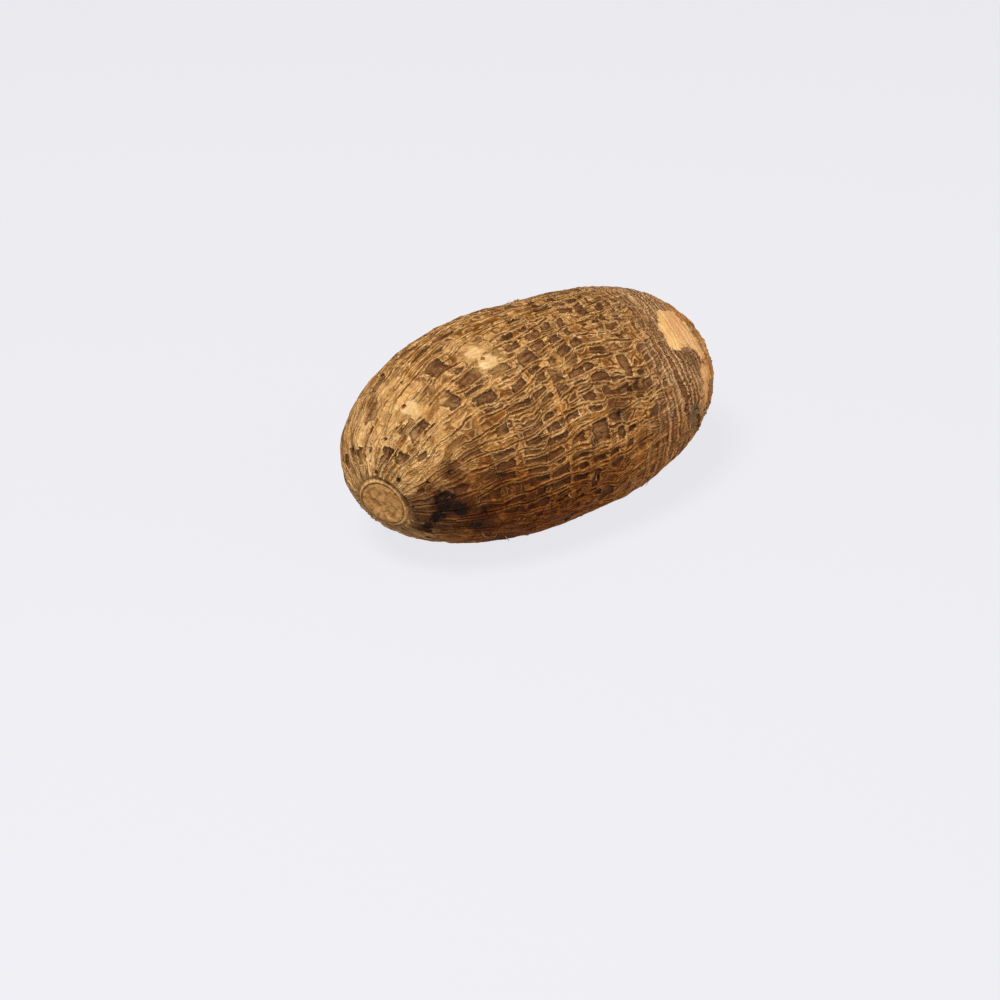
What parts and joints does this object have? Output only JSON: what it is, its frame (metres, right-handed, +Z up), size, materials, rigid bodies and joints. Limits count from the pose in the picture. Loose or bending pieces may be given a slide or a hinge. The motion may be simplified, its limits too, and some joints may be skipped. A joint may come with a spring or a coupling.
{
  "type": "yam tuber",
  "caption": "Whole oval yam tuber lying on its side, with corky net-like wrinkled skin, a round stem scar at one end and a ringed bud at the other.",
  "frame": {"origin": "on the surface that the tuber lies on, under the middle of its box", "axes": "+X along the tuber from its stem scar to its growing tip, +Z up"},
  "size_m": [0.172, 0.095, 0.0897],
  "materials": {
    "bark": "matte corky bark"
  },
  "bodies": {
    "root": {"tuber": "bark"}
  },
  "joints": []
}
